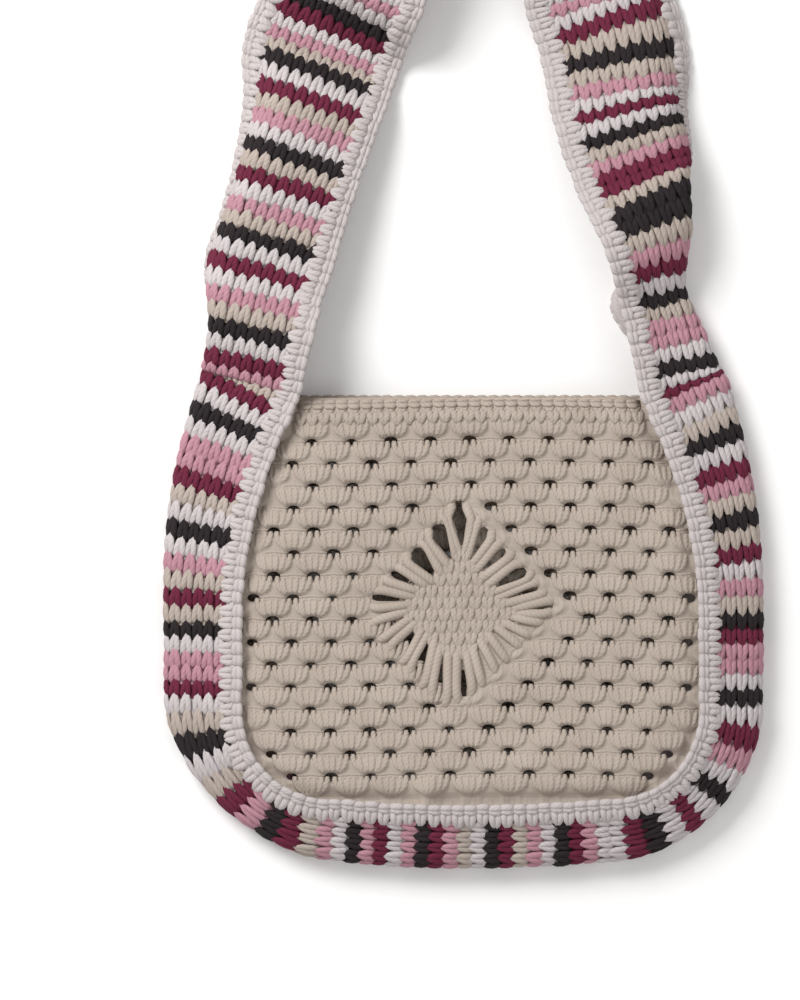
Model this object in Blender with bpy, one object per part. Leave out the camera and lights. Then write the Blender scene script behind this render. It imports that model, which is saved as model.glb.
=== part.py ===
# Crocheted crossbody bag, lying on its back.
# Two panels are joined by one long striped band, which is the gusset round the sides and the
# bottom and, above the mouth, the strap. A crochet edging runs along both edges of the band.
# Lengths are in metres and angles in degrees. +Z is up, +Y runs from the bottom of the bag to
# its mouth and on along the strap, and the origin is under the middle of the back panel.

import collections
import math

import bmesh
import bpy
import numpy as np
from mathutils import Vector
from mathutils.geometry import delaunay_2d_cdt

# Panels
PANEL_WIDTH = 0.228
PANEL_HEIGHT = 0.202
PANEL_THICKNESS = 0.004
MOUTH_WIDTH = 0.171  # the front panel's top edge, which the strap draws in
BACK_MOUTH_WIDTH = 0.216  # the back panel's top edge, which lies flat
CORNER_RADIUS = 0.044
BACK_LEFT_RADIUS = 0.078  # the back panel's corners, which tuck in further than the front's
BACK_RIGHT_RADIUS = 0.050
BOTTOM_BOW = 0.003
BACK_SHIFT_LEFT = 0.006  # how far the back panel has slid from under the front one
BACK_SHIFT_UP = 0.007
BACK_SHOWS = 0.003  # the back panel's top edge beyond the front panel's
TAPER_START = -0.05  # share of the height at which the sides begin to draw in
TAPER_POWER = 2.0

# Band
BAND_WIDTH = 0.077
BAND_THICKNESS = 0.0042
EDGING_WIDTH = 0.009
EDGING_THICKNESS = 0.0056
EDGING_FLAT = 0.62  # share of an edging's width between its taken-off corners
EDGING_SIDE = 0.45  # and share of its thickness
RIM_HEIGHT = 0.027  # middle of the front edging above the floor
GUSSET_SOFTNESS = 0.30  # share of the band's width over which it folds round
GUSSET_LEAN = 25.0  # first try for its slope at the front edge
GUSSET_TRIES = 60  # small steps in which its lean and crease settle
STRAP_RISE = 0.484  # from the mouth to the end of the loop
LOOP_RADIUS = 0.055

# Front panel's surface
SEAM_DROP = 0.0015  # panel's middle below the edging's middle
PUFF_HEIGHT = 0.0035  # the panel swells this much inside its seam
PUFF_WIDTH = 0.022
SAG = 0.009  # and hangs this much in its middle
LIP_DEPTH = 0.008  # the top edge rolls back over this depth
LIP_DROP = 0.004

# Trellis of holes in the front panel
HOLE_PITCH = 0.0197
HOLE_LENGTH = 0.006
HOLE_HEIGHT = 0.0036
HOLE_FLAT = 0.5  # share of its length over which a hole's long sides are straight
ROW_PITCH = 0.0111
TOP_ROWS_DEPTH = 0.0205  # solid rows between the mouth and the first row of holes
HOLE_MARGIN = 0.015  # from the panel's edge to the nearest hole's middle

# Spider-stitch diamond
MOTIF_LEFT = 0.0055  # its middle lies this far left of the panel's
MOTIF_DOWN = 0.0015
MOTIF_WIDTH = 0.093
MOTIF_HEIGHT = 0.101
HEART_SHARE = 0.52  # the solid middle's share of the diamond
SLIT_WIDTH = 0.0075  # the widest slit
SLIT_TRIM = 0.12  # share of its length that a slit stops short at each end
SLIT_WIDEST_AT = 0.7  # share of its length at which a slit is widest
TRELLIS_STOP_SHARE = 1.16  # the trellis stops at this many times the diamond's reach

GAP = 0.0003  # between a panel and its edging
BAND_GAP = 0.0008  # between the band and its edgings, which twist together

# Sections along each span of the ring, and points across each
LEG_SECTIONS = 28
LOOP_SECTIONS = 6
SIDE_SECTIONS = 10
CORNER_SECTIONS = 7
BOTTOM_SECTIONS = 4
BAND_POINTS = 9
FOLD_STEPS = 48
MOUTH_POINTS = 12
GRID_PITCH = 0.008
GRID_CLEARANCE = 0.0078
MERGE_DISTANCE = 1e-6
SHARP_ANGLE = 50
BACK_MOUTH_POWER = 6  # how late the back panel's top edge turns to its corners

Outline = collections.namedtuple("Outline", "width mouth height corner")
FRONT_OUTLINE = Outline(PANEL_WIDTH, MOUTH_WIDTH, PANEL_HEIGHT, CORNER_RADIUS)
BACK_LEFT_OUTLINE = Outline(PANEL_WIDTH, BACK_MOUTH_WIDTH, PANEL_HEIGHT, BACK_LEFT_RADIUS)
BACK_RIGHT_OUTLINE = Outline(PANEL_WIDTH, BACK_MOUTH_WIDTH, PANEL_HEIGHT, BACK_RIGHT_RADIUS)

# How the strap lies, a row for each station up from the mouth.
# rise is a share of the strap's rise. The front edge stands of_mouth half mouth widths plus
# of_loop loop radii from the middle. lean is the slope down and outwards at the front edge,
# fold how far the band then turns down or under, crease the share of its width where it turns,
# and soft the share of its width that the turn takes.
Station = collections.namedtuple("Station", "rise of_mouth of_loop lean fold crease soft")
LEFT_LEG = [
    Station(0.052, 0.936, 0.00, 12, 130, 0.69, 0.30),
    Station(0.103, 0.865, 0.00, 2, 84, 0.71, 0.32),
    Station(0.155, 0.778, 0.00, -4, 84, 0.68, 0.34),
    Station(0.207, 0.690, 0.00, -9, 84, 0.66, 0.36),
    Station(0.279, 0.556, 0.00, -14, 65, 0.62, 0.40),
    Station(0.351, 0.409, 0.00, 0, 2, 0.62, 0.30),
    Station(0.413, 0.263, 0.00, 0, 112, 0.62, 0.26),
    Station(0.483, 0.270, 0.00, 22, 88, 0.60, 0.32),
    Station(0.556, 0.200, 0.24, 48, 48, 0.56, 0.40),
    Station(0.638, 0.100, 0.57, 76, 14, 0.50, 0.40),
    Station(0.721, 0.050, 0.78, 90, 0, 0.50, 0.40),
    Station(0.804, 0.000, 0.95, 90, 0, 0.50, 0.40),
    Station(1.000, 0.000, 1.00, 90, 0, 0.50, 0.40),
]
RIGHT_LEG = [
    Station(0.052, 0.936, 0.00, 20, 158, 0.56, 0.28),
    Station(0.103, 0.865, 0.00, 24, 154, 0.52, 0.28),
    Station(0.155, 0.778, 0.00, 13, 128, 0.63, 0.30),
    Station(0.207, 0.645, 0.00, 2, 92, 0.72, 0.30),
    Station(0.279, 0.515, 0.00, -8, 74, 0.69, 0.32),
    Station(0.351, 0.439, 0.00, -12, 56, 0.66, 0.36),
    Station(0.413, 0.333, 0.00, -11, 56, 0.64, 0.38),
    Station(0.483, 0.328, 0.00, 6, 46, 0.62, 0.40),
    Station(0.556, 0.235, 0.24, 36, 38, 0.58, 0.40),
    Station(0.638, 0.110, 0.57, 72, 14, 0.50, 0.40),
    Station(0.721, 0.050, 0.78, 90, 0, 0.50, 0.40),
    Station(0.804, 0.000, 0.95, 90, 0, 0.50, 0.40),
    Station(1.000, 0.000, 1.00, 90, 0, 0.50, 0.40),
]

# How far each slit of the diamond stands open, as a share of the widest: the slit at the tip,
# then the three on the side that follows it anticlockwise.
Tip = collections.namedtuple("Tip", "across up at_tip quarter half three_quarters")
SLITS = [
    Tip(0, 1, 1.00, 0.85, 0.75, 0.30),
    Tip(-1, 0, 0.35, 0.45, 0.45, 0.45),
    Tip(0, -1, 0.45, 0.25, 0.20, 0.20),
    Tip(1, 0, 0.30, 0.35, 0.75, 0.85),
]

# Creases and dents of the front panel. across and up are shares of its half width and half
# height, along and broad shares of its width, turn the direction of the long axis, and rise a
# share of the swelling inside the seam.
Dent = collections.namedtuple("Dent", "across up along broad turn rise")
DENTS = [
    Dent(-0.20, -1.02, 0.10, 0.022, 75, 0.9),
    Dent(0.26, -0.56, 0.09, 0.050, 35, -0.8),
    Dent(0.98, -1.30, 0.16, 0.030, 80, -0.9),
    Dent(0.80, 0.55, 0.20, 0.060, 70, -0.6),
    Dent(0.05, 0.90, 0.30, 0.030, 0, 0.5),
]

MATERIALS = {
    "panel_yarn": ((0.47, 0.39, 0.33), 0.85),
    "band_yarn": ((0.22, 0.035, 0.06), 0.85),
    "edging_yarn": ((0.66, 0.60, 0.62), 0.85),
}


def principled(name):
    colour, roughness = MATERIALS[name]
    material = bpy.data.materials.new(name)
    material.use_nodes = True
    shader = material.node_tree.nodes["Principled BSDF"]
    shader.inputs["Base Color"].default_value = (*colour, 1)
    shader.inputs["Roughness"].default_value = roughness
    shader.inputs["Metallic"].default_value = 0
    return material


# Outlines


def half_outline(outline):
    """The left half, from the mouth's corner down and round to the middle of the bottom."""
    half, top, low = outline.width / 2, outline.height / 2, BOTTOM_BOW - outline.height / 2
    start = outline.height * TAPER_START
    points = []
    for k in range(SIDE_SECTIONS):
        y = top + (low + outline.corner - top) * k / SIDE_SECTIONS
        taper = max(0, (y - start) / (top - start)) ** TAPER_POWER
        points.append((-half + (half - outline.mouth / 2) * taper, y))
    for k in range(CORNER_SECTIONS):
        turned = math.radians(180 + 90 * k / CORNER_SECTIONS)
        points.append((
            outline.corner - half + outline.corner * math.cos(turned),
            low + outline.corner + outline.corner * math.sin(turned),
        ))
    for k in range(BOTTOM_SECTIONS + 1):
        share = k / BOTTOM_SECTIONS
        points.append((
            (outline.corner - half) * (1 - share),
            low - BOTTOM_BOW * (1 - (1 - share) ** 2),
        ))
    return points


def whole_outline(left, right):
    """Anticlockwise from the mouth's left corner to its right corner, a half from each."""
    mirrored = [(-x, y) for x, y in reversed(half_outline(right)[:-1])]
    return np.array(half_outline(left) + mirrored)


# The band's fold


def across_band(lean, fold, crease, soft):
    """The band's middle line from its front edge: how far out and up, and the slope, by share."""
    shares = (np.arange(FOLD_STEPS) + 0.5) / FOLD_STEPS
    turned = np.clip((shares - crease) / soft + 0.5, 0, 1)
    turned = turned * turned * (3 - 2 * turned)
    slope = -np.radians(lean + fold * turned)
    step = BAND_WIDTH / FOLD_STEPS
    out = np.concatenate([[0], np.cumsum(np.cos(slope)) * step])
    up = np.concatenate([[0], np.cumsum(np.sin(slope)) * step])
    return out, up, np.concatenate([[slope[0]], slope])


def folded_gusset(reach):
    """The lean and crease with which the band reaches this far out from its front edge to its
    back edge, with its back half flat on the floor and its front edge at the rim's height."""
    lean, crease = GUSSET_LEAN, 0.5
    for _ in range(GUSSET_TRIES):
        out, up, _slope = across_band(lean, 180 - lean, crease, GUSSET_SOFTNESS)
        short = RIM_HEIGHT - EDGING_THICKNESS / 2 + up.min()
        lean += math.degrees(short / BAND_WIDTH)
        crease += (reach - out[-1]) / (3 * BAND_WIDTH)
    return lean, 180 - lean, crease, GUSSET_SOFTNESS


def smooth_row(rows, share):
    """A row between two rows of a table, on a smooth curve through their neighbours."""
    shares = [row[0] for row in rows]
    k = int(np.clip(np.searchsorted(shares, share) - 1, 0, len(rows) - 2))
    values = np.array(rows, float)
    before, after = max(k - 1, 0), min(k + 2, len(rows) - 1)
    span = shares[k + 1] - shares[k]
    t = (share - shares[k]) / span
    start = (values[k + 1] - values[before]) / (shares[k + 1] - shares[before]) * span
    end = (values[after] - values[k]) / (shares[after] - shares[k]) * span
    return (
        (2 * t**3 - 3 * t**2 + 1) * values[k]
        + (t**3 - 2 * t**2 + t) * start
        + (3 * t**2 - 2 * t**3) * values[k + 1]
        + (t**3 - t**2) * end
    )


# The ring's stations


def leg_rows(rows, mouth_fold):
    """A smoothed row for each station up one leg, from the fold of the gusset at the mouth."""
    rows = [Station(0, 1, 0, *mouth_fold)] + rows
    straight = 1 - LOOP_RADIUS / STRAP_RISE
    shares = [straight * k / LEG_SECTIONS for k in range(1, LEG_SECTIONS + 1)]
    return [Station(share, *smooth_row(rows, share)[1:]) for share in shares]


def leg_points(rows, side):
    """Points of the front edge up one leg and round its half of the loop's end. side is -1 for
    the left leg and 1 for the right."""
    top = PANEL_HEIGHT / 2
    points = []
    for row in leg_rows(rows, (0, 0, 0, 0)):
        x = row.of_mouth * MOUTH_WIDTH / 2 + row.of_loop * LOOP_RADIUS
        points.append((side * x, top + row.rise * STRAP_RISE))
    for k in range(1, LOOP_SECTIONS + 1):
        turned = math.radians(90 * k / LOOP_SECTIONS)
        y = top + STRAP_RISE - LOOP_RADIUS + LOOP_RADIUS * math.sin(turned)
        points.append((side * LOOP_RADIUS * math.cos(turned), y))
    return points


def leg_folds(rows, mouth_fold):
    """The fold of the band at each point of a leg. It stands on its edge round the loop."""
    return [row[3:] for row in leg_rows(rows, mouth_fold)] + [rows[-1][3:]] * LOOP_SECTIONS


def outward(points):
    """Unit normals of a closed line that runs anticlockwise."""
    ahead = np.roll(points, -1, axis=0) - points
    ahead /= np.linalg.norm(ahead, axis=1)[:, None]
    ahead += np.roll(ahead, 1, axis=0)
    normals = np.stack([ahead[:, 1], -ahead[:, 0]], axis=1)
    return normals / np.linalg.norm(normals, axis=1)[:, None]


def ring_stations():
    """Points of the front edge, their normals, the band's fold at each, and how many belong to
    the body. They run from the mouth's left corner round the body, up the right leg, round the
    loop and down the left leg."""
    body = whole_outline(FRONT_OUTLINE, FRONT_OUTLINE)
    back = whole_outline(BACK_LEFT_OUTLINE, BACK_RIGHT_OUTLINE)
    back += (-BACK_SHIFT_LEFT, BACK_SHIFT_UP)
    left_leg = leg_points(LEFT_LEG, -1)[:-1]
    points = np.concatenate([body, leg_points(RIGHT_LEG, 1), left_leg[::-1]])
    normals = outward(points)
    reach = ((back - body) * normals[: len(body)]).sum(axis=1)
    folds = [folded_gusset(one) for one in reach]
    left_folds = leg_folds(LEFT_LEG, folds[0])[:-1]
    folds += leg_folds(RIGHT_LEG, folds[-1]) + left_folds[::-1]
    return points, normals, folds, len(body)


def strip_section(fold, start, end):
    """Outline, across the ring, of the striped band: its upper then its lower side."""
    out, up, slope = across_band(*fold)
    shares = np.linspace(0, 1, len(out))
    at = np.linspace(start, end, BAND_POINTS) / BAND_WIDTH
    out, up, slope = (np.interp(at, shares, line) for line in (out, up, slope))
    half = BAND_THICKNESS / 2
    upper = np.stack([out - np.sin(slope) * half, up + np.cos(slope) * half], axis=1)
    lower = np.stack([out + np.sin(slope) * half, up - np.cos(slope) * half], axis=1)
    return np.concatenate([upper, lower[::-1]])


def bead_section(fold, start, end):
    """Outline, across the ring, of an edging: a flat bar with its corners taken off. It runs
    round the other way from a strip's, so that the two twist alike where they meet."""
    out, up, slope = across_band(*fold)
    at = (start + end) / 2 / BAND_WIDTH
    shares = np.linspace(0, 1, len(out))
    out, up, slope = (float(np.interp(at, shares, line)) for line in (out, up, slope))
    along = np.array([math.cos(slope), math.sin(slope)]) * (end - start) / 2
    above = np.array([-math.sin(slope), math.cos(slope)]) * EDGING_THICKNESS / 2
    corners = [(-EDGING_FLAT, -1), (EDGING_FLAT, -1), (1, -EDGING_SIDE), (1, EDGING_SIDE)]
    corners += [(-x, -z) for x, z in corners]
    return np.array([out, up]) + np.array([x * along + z * above for x, z in corners])


def ring_sections(fold):
    """The three outlines across the ring at one station, resting on the floor."""
    inner, outer = EDGING_WIDTH, BAND_WIDTH - EDGING_WIDTH
    sections = {
        "front_edging": bead_section(fold, 0, inner),
        "strap_band": strip_section(fold, inner + BAND_GAP, outer - BAND_GAP),
        "back_edging": bead_section(fold, outer, BAND_WIDTH),
    }
    floor = min(section[:, 1].min() for section in sections.values())
    return {name: section - (0, floor) for name, section in sections.items()}


# Solids


def placed(name, mesh, material, collection):
    mesh.materials.clear()
    mesh.materials.append(material)
    mesh.shade_smooth()
    mesh.set_sharp_from_angle(angle=math.radians(SHARP_ANGLE))
    thing = bpy.data.objects.new(name, mesh)
    collection.objects.link(thing)
    return thing


def lofted_ring(name, points, normals, outlines):
    """A closed ring through one outline at each station."""
    shape = bmesh.new()
    loops = []
    for point, normal, outline in zip(points, normals, outlines):
        loops.append([
            shape.verts.new((*(point + normal * out), up)) for out, up in outline
        ])
    for k, loop in enumerate(loops):
        ahead = loops[(k + 1) % len(loops)]
        for i in range(len(loop)):
            j = (i + 1) % len(loop)
            shape.faces.new((loop[i], loop[j], ahead[j]))
            shape.faces.new((loop[i], ahead[j], ahead[i]))
    bmesh.ops.recalc_face_normals(shape, faces=shape.faces)
    mesh = bpy.data.meshes.new(name)
    shape.to_mesh(mesh)
    shape.free()
    return mesh


def loose_points(outlines):
    """Points on a grid inside the sheet, clear of its outline and of its cuts, so that it can
    bend where it has neither."""
    drawn = np.concatenate(outlines)
    low, high = drawn.min(axis=0), drawn.max(axis=0)
    points = []
    for y in np.arange(low[1], high[1], GRID_PITCH):
        for x in np.arange(low[0], high[0], GRID_PITCH):
            clear = np.linalg.norm(drawn - (x, y), axis=1).min() > GRID_CLEARANCE
            if clear and inside_outline((x, y), outlines[0]):
                points.append((x, y))
    return points


def sheet(name, outlines, loose, height):
    """A sheet cut to the first outline, with a hole for each other one and loose points
    between. height gives its middle above the floor at a point."""
    points, lines, cut_of = [], [], []
    for number, outline in enumerate(outlines):
        first, count = len(points), len(outline)
        points += [tuple(point) for point in outline]
        lines += [(first + k, first + (k + 1) % count) for k in range(count)]
        cut_of += [number] * count
    points += loose
    cut_of += [0] * len(loose)
    inside_constraints = 1
    places, _, triangles, origins, _, _ = delaunay_2d_cdt(
        [Vector(point) for point in points], lines, [], inside_constraints, MERGE_DISTANCE
    )
    shape = bmesh.new()
    low = []
    for place in places:
        middle = height(np.array(place))
        low.append(shape.verts.new((*place, middle - PANEL_THICKNESS / 2)))
    for triangle in triangles:
        cuts = {cut_of[origins[k][0]] for k in triangle}
        if len(cuts) > 1 or cuts == {0}:
            shape.faces.new([low[k] for k in triangle])
    raised = bmesh.ops.extrude_face_region(shape, geom=shape.faces[:])["geom"]
    top = [item for item in raised if isinstance(item, bmesh.types.BMVert)]
    bmesh.ops.translate(shape, vec=(0, 0, PANEL_THICKNESS), verts=top)
    bmesh.ops.recalc_face_normals(shape, faces=shape.faces)
    mesh = bpy.data.meshes.new(name)
    shape.to_mesh(mesh)
    shape.free()
    return mesh


# Front panel


def edge_distance(point, outline):
    """How far a point inside the outline is from it."""
    ahead = np.roll(outline, -1, axis=0) - outline
    toward = point - outline
    share = np.clip((toward * ahead).sum(1) / (ahead * ahead).sum(1), 0, 1)
    return np.linalg.norm(toward - ahead * share[:, None], axis=1).min()


def panel_height(point, sides):
    """Height of the front panel's middle. sides is its outline without the mouth's edge."""
    half = np.array([PANEL_WIDTH, PANEL_HEIGHT]) / 2
    inside = min(edge_distance(point, sides) / PUFF_WIDTH, 1)
    height = RIM_HEIGHT - SEAM_DROP + PUFF_HEIGHT * inside * (2 - inside)
    across, up = point / half
    height -= SAG * max(0, 1 - across**2) * max(0, 1 - min(up, 0) ** 2)
    lip = np.clip(1 - (half[1] - point[1]) / LIP_DEPTH, 0, 1)
    height -= LIP_DROP * lip**2
    for dent in DENTS:
        offset = point - half * (dent.across, dent.up)
        turned = math.radians(dent.turn)
        along = offset @ (math.cos(turned), math.sin(turned)) / (dent.along * PANEL_WIDTH)
        broad = offset @ (-math.sin(turned), math.cos(turned)) / (dent.broad * PANEL_WIDTH)
        height += PUFF_HEIGHT * dent.rise * math.exp(-(along**2) - broad**2)
    return height


def trellis_holes(outline):
    """Staggered rows of small holes, clear of the panel's edge and of the diamond."""
    holes = []
    middle = np.array([-MOTIF_LEFT, -MOTIF_DOWN])
    rows = int((PANEL_HEIGHT - TOP_ROWS_DEPTH) / ROW_PITCH) + 1
    columns = int(PANEL_WIDTH / HOLE_PITCH)
    for row in range(rows):
        y = PANEL_HEIGHT / 2 - TOP_ROWS_DEPTH - row * ROW_PITCH
        for column in range(-columns, columns + 1):
            place = np.array([(column + row % 2 / 2) * HOLE_PITCH, y])
            from_middle = np.abs(place - middle)
            diamond = from_middle[0] / (MOTIF_WIDTH / 2) + from_middle[1] / (MOTIF_HEIGHT / 2)
            clear = abs(place[0]) < PANEL_WIDTH / 2 and inside_outline(place, outline)
            if not clear or diamond < TRELLIS_STOP_SHARE:
                continue
            if edge_distance(place, outline) > HOLE_MARGIN:
                holes.append([place + corner for corner in hole_corners()])
    return holes


def inside_outline(point, outline):
    ahead = np.roll(outline, -1, axis=0)
    crosses = (outline[:, 1] > point[1]) != (ahead[:, 1] > point[1])
    run = np.where(crosses, ahead[:, 1] - outline[:, 1], 1)
    at = outline[:, 0] + (point[1] - outline[:, 1]) / run * (ahead[:, 0] - outline[:, 0])
    return bool((crosses & (at > point[0])).sum() % 2)


def hole_corners():
    long, high = HOLE_LENGTH / 2, HOLE_HEIGHT / 2
    half = [(long, 0), (long * HOLE_FLAT, high), (-long * HOLE_FLAT, high)]
    return [np.array(corner) for corner in half + [(-x, -y) for x, y in half]]


def motif_slits():
    """Slits that radiate from the diamond's solid heart to its outline, four to a side."""
    middle = np.array([-MOTIF_LEFT, -MOTIF_DOWN])
    reach = np.array([MOTIF_WIDTH, MOTIF_HEIGHT]) / 2
    slits = []
    for k, tip in enumerate(SLITS):
        following = SLITS[(k + 1) % len(SLITS)]
        for quarter, width in enumerate(tip[2:]):
            here, there = np.array(tip[:2]), np.array(following[:2])
            at = (here + (there - here) * quarter / 4) * reach
            first = at * (HEART_SHARE + (1 - HEART_SHARE) * SLIT_TRIM)
            last = at * (1 - (1 - HEART_SHARE) * SLIT_TRIM)
            aside = np.array([-at[1], at[0]]) / np.linalg.norm(at) * width * SLIT_WIDTH / 2
            widest = first + (last - first) * SLIT_WIDEST_AT
            slits.append([middle + point for point in (first, widest - aside, last, widest + aside)])
    return slits


def front_panel(sides):
    mouth = np.linspace(sides[-1], sides[0], MOUTH_POINTS + 1)[1:-1]
    outline = np.concatenate([sides, mouth])
    outlines = [outline] + trellis_holes(outline) + motif_slits()
    loose = loose_points(outlines)
    return sheet("front_panel", outlines, loose, lambda point: panel_height(point, sides))


# Back panel


def back_panel(sides):
    """Flat on the floor. Its top edge runs level between its corners, just past the front's."""
    shares = np.linspace(-1, 1, MOUTH_POINTS + 1)[1:-1]
    level = PANEL_HEIGHT / 2 + BACK_SHOWS
    mouth = []
    for share in shares:
        x = sides[-1][0] + (sides[0][0] - sides[-1][0]) * (share + 1) / 2
        corner = sides[0][1] if share > 0 else sides[-1][1]
        mouth.append((x, level + (corner - level) * share**BACK_MOUTH_POWER))
    outline = np.concatenate([sides, mouth])
    return sheet("back_panel", [outline], [], lambda point: PANEL_THICKNESS / 2)


def main():
    for thing in list(bpy.data.objects):
        bpy.data.objects.remove(thing)
    bag = bpy.data.collections.new("crossbody_bag")
    bpy.context.scene.collection.children.link(bag)
    panel_yarn, band_yarn, edging_yarn = (principled(name) for name in MATERIALS)

    points, normals, folds, body_count = ring_stations()
    sections = [ring_sections(fold) for fold in folds]
    for name, material in (
        ("strap_band", band_yarn),
        ("front_edging", edging_yarn),
        ("back_edging", edging_yarn),
    ):
        outlines = [section[name] for section in sections]
        placed(name, lofted_ring(name, points, normals, outlines), material, bag)

    # Each panel fills its edging with a small gap all round.
    for name, build, edging in (
        ("front_panel", front_panel, "front_edging"),
        ("back_panel", back_panel, "back_edging"),
    ):
        inner = [section[edging][:, 0].min() - GAP for section in sections[:body_count]]
        sides = points[:body_count] + normals[:body_count] * np.array(inner)[:, None]
        placed(name, build(sides), panel_yarn, bag)


main()
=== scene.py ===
# Crocheted crossbody bag lying on its back: every stitch, the yarn and the light.
# Lengths are in metres where a name says nothing, and in millimetres where it ends in Mm.
# +Y runs from the bag's bottom to its mouth and on along the strap, and +Z is up.

import math

import bpy
import numpy as np
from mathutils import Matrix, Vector


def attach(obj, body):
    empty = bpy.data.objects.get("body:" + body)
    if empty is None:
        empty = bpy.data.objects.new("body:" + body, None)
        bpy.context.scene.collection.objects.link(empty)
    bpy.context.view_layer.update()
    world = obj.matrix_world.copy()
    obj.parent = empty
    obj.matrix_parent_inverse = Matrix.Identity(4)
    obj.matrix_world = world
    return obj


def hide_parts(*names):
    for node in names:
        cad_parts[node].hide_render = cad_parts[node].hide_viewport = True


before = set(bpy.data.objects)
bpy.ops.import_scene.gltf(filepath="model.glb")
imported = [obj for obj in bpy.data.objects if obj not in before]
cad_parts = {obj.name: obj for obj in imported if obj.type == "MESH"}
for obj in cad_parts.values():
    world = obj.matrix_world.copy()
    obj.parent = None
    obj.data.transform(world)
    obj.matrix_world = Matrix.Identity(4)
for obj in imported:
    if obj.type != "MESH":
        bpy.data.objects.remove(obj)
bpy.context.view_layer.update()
rng = np.random.default_rng(11)
print("frame loaded", sorted(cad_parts))


# Colours and nodes


def hexColour(code, lift=1.0):
    parts = [int(code[k:k + 2], 16) / 255 for k in (1, 3, 5)]
    linear = [p / 12.92 if p <= 0.04045 else ((p + 0.055) / 1.055) ** 2.4 for p in parts]
    return (*[min(1.0, p * lift) for p in linear], 1.0)


def addNode(tree, kind, settings=None, links=None):
    # settings go to properties or to unlinked inputs, links are (input, output socket)
    node = tree.nodes.new(kind)
    for name, value in (settings or {}).items():
        if isinstance(name, str) and hasattr(node, name) and name not in node.inputs:
            setattr(node, name, value)
        else:
            node.inputs[name].default_value = value
    for name, socket in (links or {}).items():
        tree.links.new(socket, node.inputs[name])
    return node


# Worsted acrylic yarn is four soft plies twisted together, spun from crimped fibre. It is matt,
# with a pale bloom of loose fibre at its edges, a shadow between the plies, here painted shade in
# the colour, and a colour that drifts a little along the yarn.
yarnLook = {
    "plies": 4,
    "twistMm": 9.0,       # one full turn of the plies
    "plyDepthMm": 0.20,
    "fibreDepthMm": 0.12,
    "driftMm": 14.0,      # size of the slow drift of colour
    "roughness": 0.92,
    "sheen": 0.12,
    "through": 0.22,      # share of the light that passes through the fabric
    "ior": 1.49,          # acrylic fibre
}


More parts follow.
